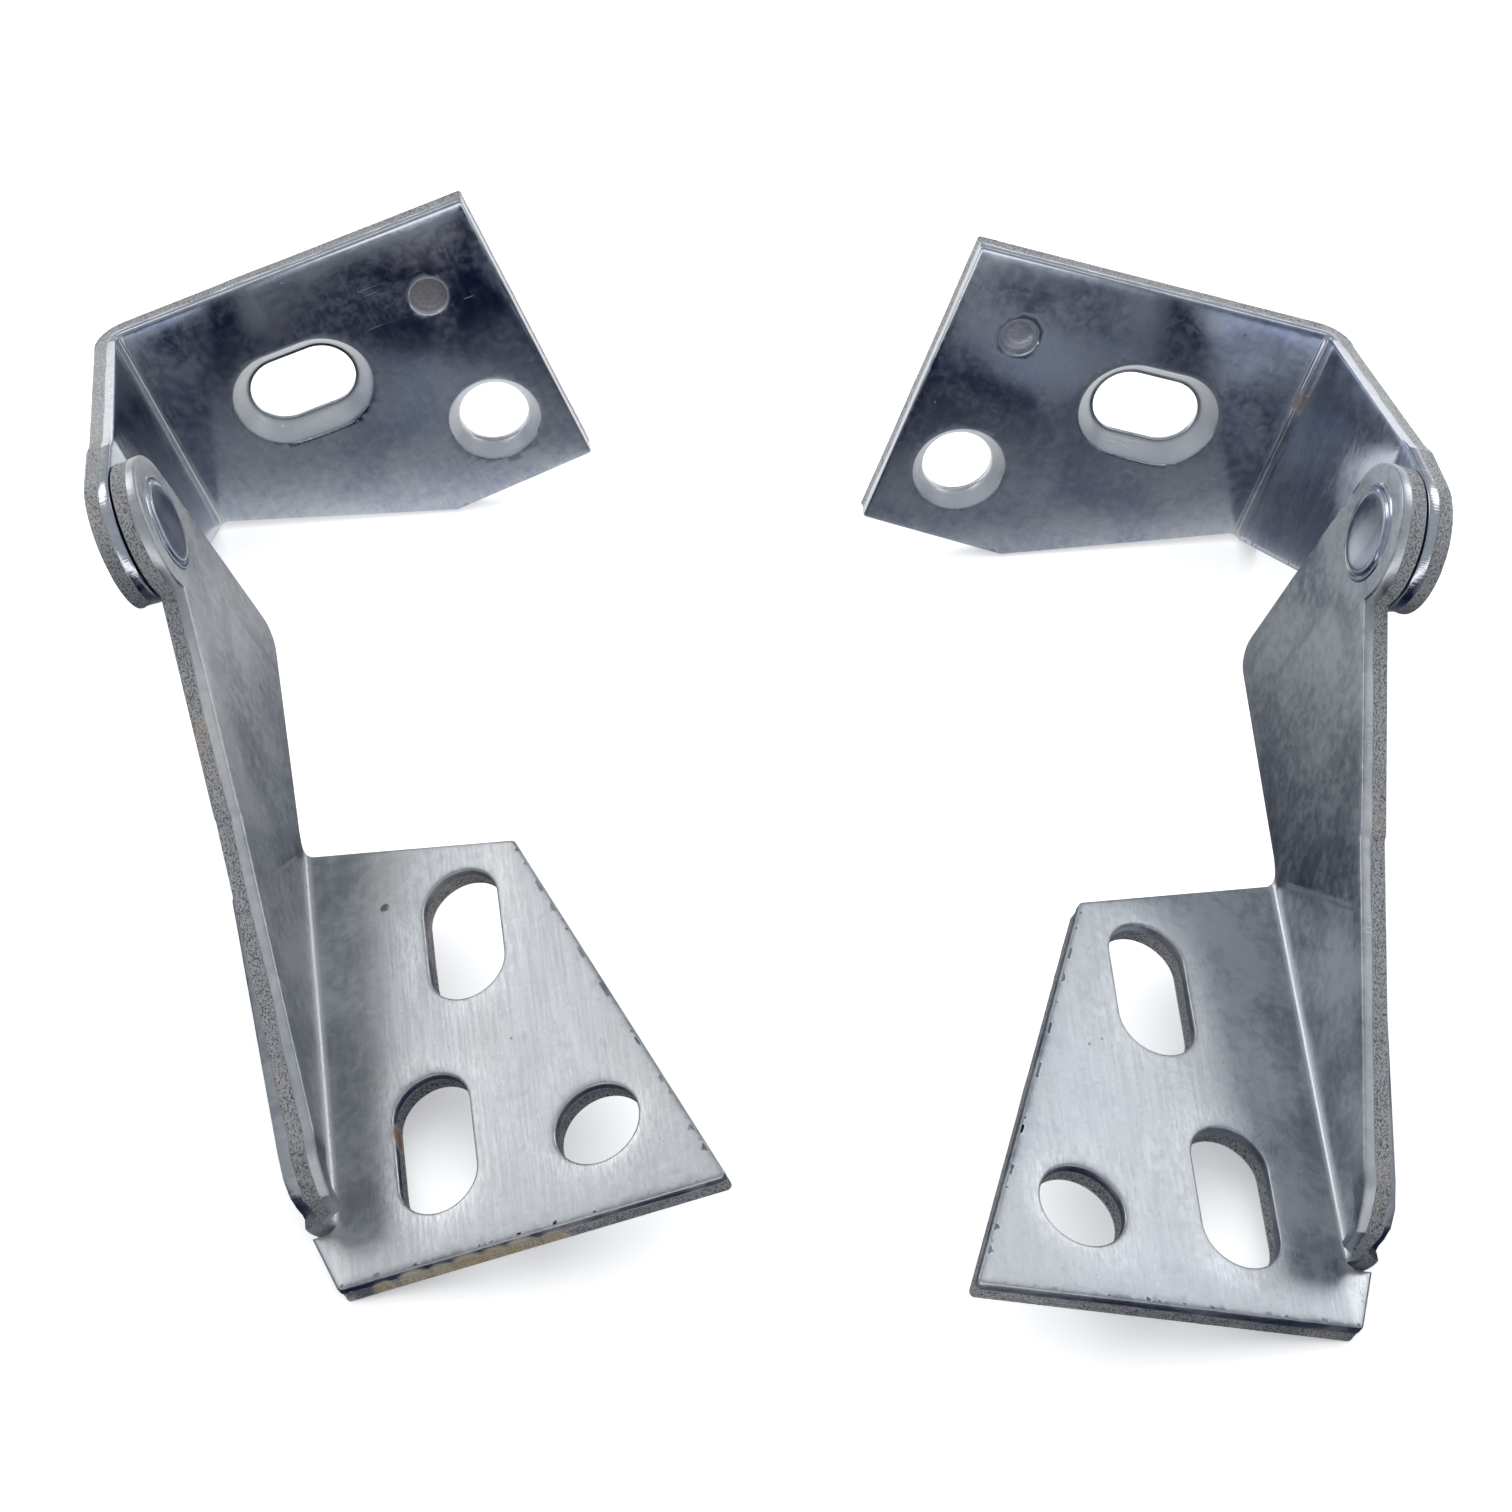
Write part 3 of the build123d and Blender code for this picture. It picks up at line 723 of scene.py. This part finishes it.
def zinc(name, seed, bright, dark, rough, cloud, brushed, rust, yellow, marks=()):
    """Plated steel: cloudy zinc, brushed streaks, scratches, pits, worn and sheared edges, rust."""
    g = Graph(name)
    flat = g.attribute("blank").outputs["Vector"]
    at = g.vec(flat, move=(seed * 7.3, seed * 3.1, 0))
    edge = g.attribute("shear").outputs["Fac"]
    part = g.nodes.new("ShaderNodeSeparateXYZ")
    g.links.new(flat, part.inputs[0])
    on_bend = g.ramp(g.math("ABSOLUTE", part.outputs["X"]), 2.6, 0.9)
    fracture = g.ramp(edge, 0.62, 0.85)
    burnish = g.ramp(edge, 0.1, 0.42)
    cone = g.ramp(edge, -0.35, -0.8)

    clouds = g.noise(at, 0.07, 3, 0.5, 0.8)
    mottle = g.noise(at, 0.75, 5, 0.6, 0.4)
    streak = g.noise(g.vec(at, (3.2, 0.10, 1), turn=(0, 0, 0.08)), 1.0, 6, 0.65)
    fine = g.noise(g.vec(at, (9.0, 0.22, 1), turn=(0, 0, 0.05)), 1.0, 3, 0.6)
    scratch_a = g.noise(g.vec(at, (0.10, 5.0, 1), turn=(0, 0, 0.7)), 1.0, 2, 0.5)
    scratch_b = g.noise(g.vec(at, (0.08, 4.2, 1), turn=(0, 0, -0.5), move=(9, 4, 0)), 1.0, 2, 0.5)
    lines = g.math("MAXIMUM", g.ramp(scratch_a, 0.70, 0.76), g.ramp(scratch_b, 0.715, 0.77))
    where = g.ramp(g.noise(at, 0.16, 2, 0.5), 0.5, 0.62)
    lines = g.times(lines, where)
    pits = g.times(g.ramp(g.cells(at, 0.62), 0.11, 0.05),
                  g.ramp(g.noise(at, 0.21, 2, 0.5), 0.58, 0.66))

    spread = g.plus(g.times(clouds, 0.6), g.times(mottle, 0.4))
    base = g.mix(dark, bright, g.ramp(spread, 0.36, 0.62))
    tone = g.plus(g.times(streak, brushed * 0.55), g.times(fine, brushed * 0.35))
    base = g.mix(base, (0.80, 0.82, 0.84), g.times(g.ramp(tone, brushed * 0.36, brushed * 0.62), 0.25))
    brush = g.noise(g.vec(at, (4.5, 0.7, 1)), 1.0, 4, 0.6)
    brush = g.times(g.ramp(brush, 0.36, 0.62), g.attribute("halo").outputs["Fac"])
    base = g.mix(base, (0.84, 0.85, 0.86), g.times(brush, 0.55 * min(1.0, brushed + 0.1)))
    base = g.mix(base, (0.86, 0.87, 0.88), g.times(lines, 0.5))
    base = g.mix(base, (0.05, 0.045, 0.04), g.times(pits, 0.8))
    base = g.mix(base, (0.86, 0.87, 0.88), g.times(cone, 0.9))
    base = g.mix(base, (0.78, 0.79, 0.80), g.times(burnish, 0.55))

    # the torn half of each sheared edge: grainy, darker, with rust in it
    grain = g.noise(g.vec(at, (1.6, 1.6, 2.6)), 2.2, 6, 0.75)
    torn = g.mix((0.13, 0.115, 0.11), (0.78, 0.78, 0.78), g.ramp(grain, 0.40, 0.54))
    base = g.mix(base, torn, g.times(fracture, 0.85))
    rust_spread = g.noise(at, 0.11, 4, 0.6, 0.5)
    rusty = g.times(g.ramp(rust_spread, 0.56 - rust * 0.12, 0.70 - rust * 0.12),
                   g.math("MAXIMUM", fracture, g.times(burnish, 0.5)))
    rusty = g.times(rusty, min(1.0, rust), clamp=True)
    base = g.mix(base, (0.23, 0.115, 0.045), g.times(rusty, g.ramp(grain, 0.35, 0.6, 0.35, 0.95)))
    specks = g.times(g.ramp(g.noise(g.vec(at, (1.5, 0.9, 1)), 1.3, 4, 0.7), 0.60, 0.68), on_bend)
    specks = g.times(specks, min(1.0, rust * 2.0), clamp=True)
    base = g.mix(base, (0.80, 0.81, 0.82), g.times(on_bend, 0.45))
    base = g.mix(base, (0.20, 0.10, 0.05), g.times(specks, 0.85))
    rusty = g.math("MAXIMUM", rusty, specks)
    stain = g.times(g.ramp(g.noise(at, 0.09, 4, 0.6, 0.6), 0.55, 0.72), yellow)
    base = g.mix(base, (0.62, 0.53, 0.30), stain)
    for point, radius, colour, share in marks:
        spot = g.times(g.near(flat, point, radius), g.ramp(grain, 0.30, 0.50, 0.3, 1.0))
        base = g.mix(base, colour, g.times(spot, share))
        rusty = g.math("MAXIMUM", rusty, g.times(spot, share))
    g.link(base, g.shader.inputs["Base Color"])

    metal = g.math("SUBTRACT", 1.0, g.times(rusty, 0.75))
    g.link(g.math("SUBTRACT", metal, g.times(pits, 0.6), clamp=True), g.shader.inputs["Metallic"])
    level = g.plus(g.times(g.ramp(clouds, 0.35, 0.65), cloud), rough - cloud / 2)
    level = g.plus(level, g.times(g.ramp(mottle, 0.4, 0.62), cloud * 0.5))
    level = g.plus(level, g.times(g.ramp(streak, 0.42, 0.6), brushed * 0.06))
    level = g.plus(level, g.times(fracture, 0.30))
    level = g.plus(level, g.times(rusty, 0.25), clamp=True)
    g.link(g.plus(level, g.times(cone, 0.26), clamp=True), g.shader.inputs["Roughness"])

    skin = g.plus(g.times(mottle, 0.6), g.times(streak, brushed * 0.5))
    skin = g.plus(skin, g.times(fine, brushed * 0.5))
    skin = g.math("SUBTRACT", skin, g.times(lines, 0.6))
    skin = g.math("SUBTRACT", skin, g.times(pits, 2.0))
    normal = g.bump(skin, 0.30, 0.00003)
    tilt = g.times(g.cells(at, 0.42), 0.5)
    normal = g.bump(tilt, 0.10, 0.00004, normal)
    coarse = g.times(grain, fracture)
    normal = g.bump(coarse, 0.9, 0.00035, normal)
    ribs = g.times(g.noise(g.vec(at, (3.0, 3.0, 0.15)), 1.6, 3, 0.6), burnish)
    normal = g.bump(ribs, 0.35, 0.00010, normal)
    turning = g.noise(g.vec(at, (0.25, 0.25, 9.0)), 1.6, 2, 0.5)
    normal = g.bump(g.times(turning, cone), 0.5, 0.00008, normal)
    g.link(normal, g.shader.inputs["Normal"])
    g.shader.inputs["Specular IOR Level"].default_value = 0.5
    return g.mat


# single marks that the photo shows: (blank position, radius, colour, strength)
BROWN, OCHRE, PIT = (0.16, 0.075, 0.035), (0.42, 0.32, 0.14), (0.05, 0.03, 0.03)
DIMPLE_AT = (up_blank(x=DIMPLE[0]), DIMPLE[1], DIMPLE_DEPTH)
MARKS = {
    "left_lower": [((low_flat(8.2, -8.2), -8.2, 0), 0.55, PIT, 0.9),
                   ((low_flat(5.3, -37.6), -37.6, 1.4), 1.5, BROWN, 0.9)]
    + [((low_flat(x, -54.4 - x / 18), -54.4 - x / 18, 2.3), r, OCHRE, 0.6) for x, r in (
        (1.0, 1.4), (4.5, 1.9), (7.5, 1.6), (10.5, 2.0), (13.5, 1.8), (16.5, 2.0), (20.0, 1.5))],
    "left_upper": [(DIMPLE_AT, 2.5, PIT, 0.75)],
    "right_upper": [(DIMPLE_AT, 2.4, PIT, 0.35), ((0.3, -12.0, 0), 1.3, BROWN, 0.8)],
}

LOOKS = {
    "left_lower": zinc("zinc_left_lower", 1, (0.70, 0.71, 0.72), (0.40, 0.415, 0.43), rough=0.36, cloud=0.10,
                       brushed=1.0, rust=0.42, yellow=0.10, marks=MARKS["left_lower"]),
    "right_lower": zinc("zinc_right_lower", 2, (0.68, 0.70, 0.72), (0.34, 0.37, 0.41), rough=0.33,
                        cloud=0.12, brushed=0.8, rust=0.22, yellow=0.0),
    "left_upper": zinc("zinc_left_upper", 3, (0.64, 0.67, 0.72), (0.40, 0.44, 0.56), rough=0.12, cloud=0.08,
                       brushed=0.25, rust=0.3, yellow=0.16, marks=MARKS["left_upper"]),
    "right_upper": zinc("zinc_right_upper", 4, (0.64, 0.67, 0.72), (0.38, 0.42, 0.56), rough=0.12,
                        cloud=0.08, brushed=0.25, rust=0.2, yellow=0.04, marks=MARKS["right_upper"]),
    "rivet": zinc("zinc_rivet", 5, (0.42, 0.45, 0.54), (0.33, 0.36, 0.45), rough=0.16, cloud=0.06,
                  brushed=0.1, rust=0.1, yellow=0.0),
}

# ------------------------------------------------------------------ pieces
for number, side in enumerate(("left", "right")):
    mirror = side == "right"
    low = place(side, "_lower_face", (0, PIVOT_Y, PIVOT_Z))
    up = place(side, "_upper_face", (0, 0, 0))
    add_piece(f"{side}_lower_plate", lower_mesh(10 + number), low, mirror, "root",
              [f"{side}_lower_bracket"], LOOKS[side + "_lower"])
    add_piece(f"{side}_upper_plate", upper_mesh(20 + number), up, mirror, f"{side}_upper",
              [f"{side}_upper_bracket"], LOOKS[side + "_upper"])
    bore = low @ Matrix.Translation((0, PIVOT_Y * MM, PIVOT_Z * MM))
    add_piece(f"{side}_rivet", rivet_mesh(30 + number), bore, mirror, "root",
              [f"{side}_pivot_rivet"], LOOKS["rivet"])

# ------------------------------------------------------------------ stage, light and camera
FLOOR_HALF = 2.0
WORLD_COLOUR, WORLD_STRENGTH = (0.86, 0.92, 1.0, 1), 0.42
CARD_X, CARD_Y, CARD_UP = (-0.4, 0.4), (-0.10, 0.30), 0.0002
FOCAL_PX, PHOTO_PX, SENSOR_MM = 3628.4, 1512, 36.0      # as fitted to the photo
CAMERA_AT, CAMERA_PITCH, CAMERA_ROLL = (0.002533, -0.293946, 0.3090), 45.32, -0.2

scene = bpy.context.scene


def flat_sheet(name, xs, ys):
    """A flat rectangle on the ground, for the stage."""
    mesh = bpy.data.meshes.new(name)
    corners = [(xs[0], ys[0], 0), (xs[1], ys[0], 0), (xs[1], ys[1], 0), (xs[0], ys[1], 0)]
    mesh.from_pydata(corners, [], [(0, 1, 2, 3)])
    obj = bpy.data.objects.new(name, mesh)
    scene.collection.objects.link(obj)
    return obj


floor = flat_sheet("floor", (-FLOOR_HALF, FLOOR_HALF), (-FLOOR_HALF, FLOOR_HALF))
pale = Graph("floor_pale")
pale.link((0.9, 0.9, 0.9), pale.shader.inputs["Base Color"])
pale.link(0.9, pale.shader.inputs["Roughness"])
pale.link((1.0, 1.0, 1.0), pale.shader.inputs["Emission Color"])
pale.link(0.35, pale.shader.inputs["Emission Strength"])
floor.data.materials.append(pale.mat)

world = bpy.data.worlds.new("world")
scene.world = world
world.use_nodes = True
world.node_tree.nodes["Background"].inputs["Color"].default_value = WORLD_COLOUR
world.node_tree.nodes["Background"].inputs["Strength"].default_value = WORLD_STRENGTH

# a card just above the floor that only reflections see, for the room that the plating mirrors in the
# photo: patchy and nearly black in front of the hinges, an even grey under them, white behind them
card = flat_sheet("card", CARD_X, CARD_Y)
card.location = (0, 0, CARD_UP)
card.visible_camera = card.visible_diffuse = card.visible_shadow = False
card.visible_transmission = False
dim = Graph("card_dim")
where = dim.nodes.new("ShaderNodeTexCoord").outputs["Object"]
apart = dim.nodes.new("ShaderNodeSeparateXYZ")
dim.links.new(where, apart.inputs[0])
spots = dim.noise(dim.vec(where, (26.0, 20.0, 1.0)), 1.0, 1.5, 0.4)
near = dim.times(dim.ramp(apart.outputs["Y"], -0.012, 0.045), 0.85)
far = dim.ramp(apart.outputs["Y"], 0.038, 0.075)
glow = dim.mix((0.004, 0.007, 0.030), (0.30, 0.33, 0.39), dim.ramp(spots, 0.53, 0.74))
glow = dim.mix(glow, (0.22, 0.235, 0.26), near)
glow = dim.mix(glow, (0.95, 0.97, 0.98), far)
dim.link((0.0, 0.0, 0.0), dim.shader.inputs["Base Color"])
dim.shader.inputs["Specular IOR Level"].default_value = 0.0
dim.link(glow, dim.shader.inputs["Emission Color"])
dim.shader.inputs["Emission Strength"].default_value = 1.0
card.data.materials.append(dim.mat)


def soft_box(name, at, size, power, mirrored=True):
    """A square area light that points at the origin; mirrored says whether reflections show it."""
    data = bpy.data.lights.new(name, "AREA")
    data.shape = "RECTANGLE"
    data.size = data.size_y = size
    data.energy = power
    obj = bpy.data.objects.new(name, data)
    scene.collection.objects.link(obj)
    obj.visible_glossy = mirrored
    obj.location = at
    obj.rotation_euler = (Vector((0, 0, 0)) - Vector(at)).to_track_quat("-Z", "Y").to_euler()


soft_box("key", (0.0, 0.0, 1.1), 2.2, 23, mirrored=False)
soft_box("left_box", (-0.75, 0.55, 0.75), 0.5, 1.6)
soft_box("right_box", (0.80, 0.60, 0.65), 0.5, 1.4)

camera_data = bpy.data.cameras.new("camera")
camera_data.sensor_width = SENSOR_MM
camera_data.lens = FOCAL_PX / PHOTO_PX * SENSOR_MM
camera = bpy.data.objects.new("camera", camera_data)
scene.collection.objects.link(camera)
pitch = Matrix.Rotation(radians(CAMERA_PITCH), 4, "X")
roll = Matrix.Rotation(radians(CAMERA_ROLL), 4, "Z")
camera.matrix_world = Matrix.Translation(CAMERA_AT) @ pitch @ roll
scene.camera = camera
scene.view_settings.view_transform = "Standard"
